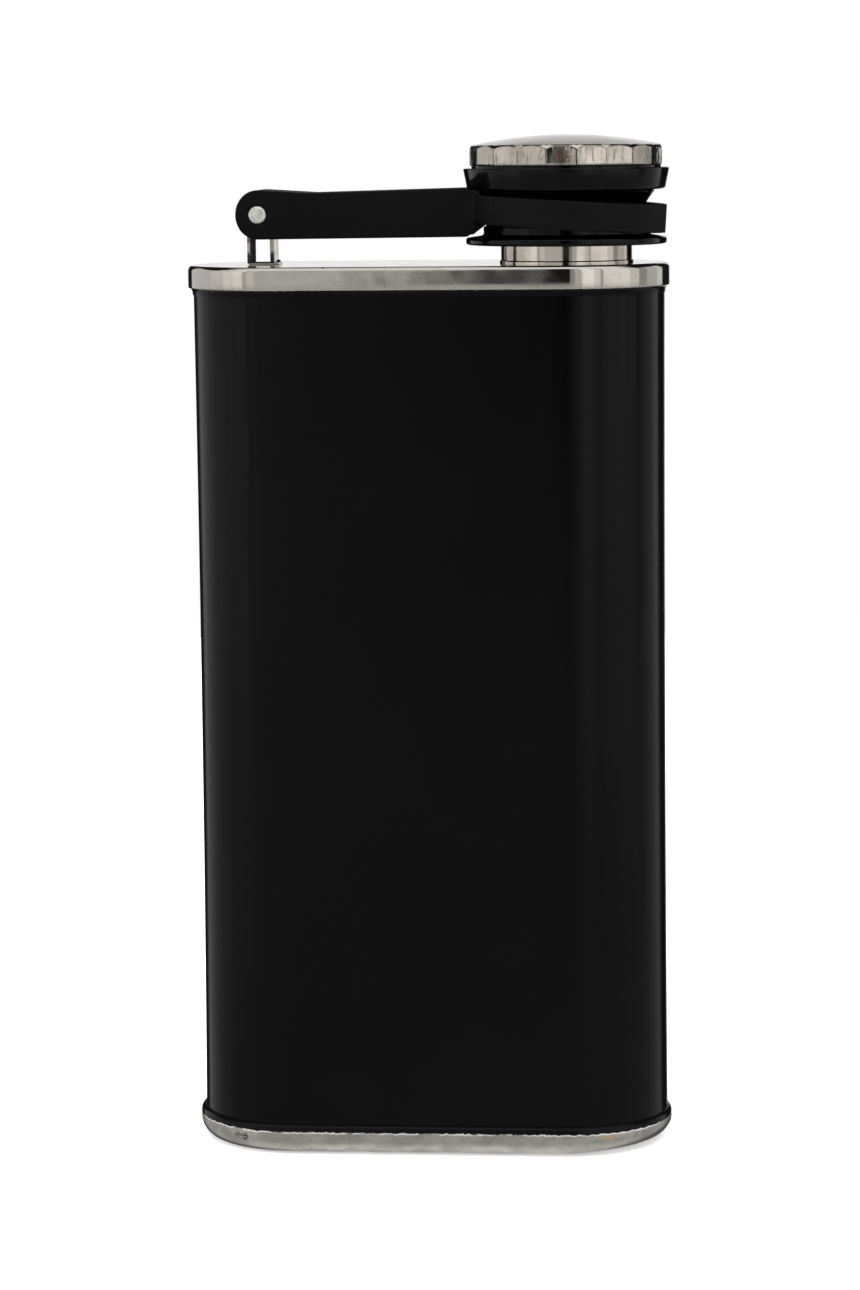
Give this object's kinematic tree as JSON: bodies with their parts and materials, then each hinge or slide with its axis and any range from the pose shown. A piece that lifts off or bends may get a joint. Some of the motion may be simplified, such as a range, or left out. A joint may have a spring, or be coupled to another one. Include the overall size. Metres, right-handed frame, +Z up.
{
  "type": "hip flask",
  "caption": "Round-ended pocket flask with a wide threaded mouth, a fluted screw cap and a hinged lever arm that keeps the cap on.",
  "frame": {"origin": "centre of the underside, on the surface that the flask stands on", "axes": "+Z up along the flask's height, +X across its width from the hinge to the cap, -Y towards the front"},
  "size_m": [0.0742, 0.032, 0.156],
  "materials": {
    "painted_body": "semi-gloss black paint",
    "bottom_steel": "polished stainless steel with a black painted shoulder",
    "top_steel": "polished stainless steel with a black painted lip",
    "polished_steel": "polished stainless steel",
    "cover_steel": "polished stamped stainless steel",
    "pin_steel": "dull cut steel",
    "matte_black": "moulded matte black plastic",
    "gloss_black": "moulded semi-gloss black plastic",
    "seal": "soft translucent silicone"
  },
  "bodies": {
    "flask": {"body_tube": "painted_body", "bottom_cap": "bottom_steel", "top_cap": "top_steel", "neck": "polished_steel", "neck_seam_ring": "polished_steel", "hinge_strap": "polished_steel"},
    "lever": {"lever": "matte_black", "hinge_pin": "pin_steel"},
    "cap": {"cap_body": "gloss_black", "retaining_ring": "gloss_black", "cap_cover": "cover_steel", "cap_gasket": "seal"}
  },
  "joints": [
    {"name": "lever_swing", "type": "hinge", "parent": "flask", "child": "lever", "pos_m": [-0.0256, 0, 0.1443], "axis": [0, -1, 0], "range_deg": [0, 120]},
    {"name": "cap_turn", "type": "hinge", "parent": "lever", "child": "cap", "pos_m": [0.0213, 0, 0.144], "axis": [0, 0, 1], "continuous": true}
  ]
}
